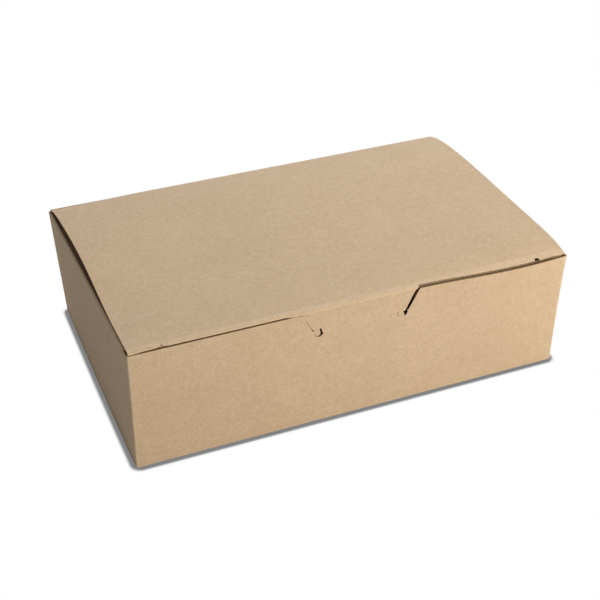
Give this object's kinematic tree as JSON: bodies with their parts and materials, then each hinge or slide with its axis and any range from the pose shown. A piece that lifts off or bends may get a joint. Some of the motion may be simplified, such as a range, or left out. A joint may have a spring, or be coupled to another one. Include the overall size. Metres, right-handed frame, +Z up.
{
  "type": "folding carton",
  "caption": "Low folding candy carton of plain brown kraft board with a hinged, gently bowed lid, a tuck flap and a small lock tab in the front wall.",
  "frame": {"origin": "middle of the underside", "axes": "+X to the right along the front wall, +Y to the rear wall, +Z up"},
  "size_m": [0.235, 0.1511, 0.0746],
  "materials": {
    "board": "uncoated brown kraft board, matt"
  },
  "bodies": {
    "tray": {"tray": "board"},
    "lid": {"lid": "board"}
  },
  "joints": [
    {"name": "lid_hinge", "type": "hinge", "parent": "tray", "child": "lid", "pos_m": [0, 0.0752, 0.0665], "axis": [-1, 0, 0], "range_deg": [0, 135]}
  ]
}
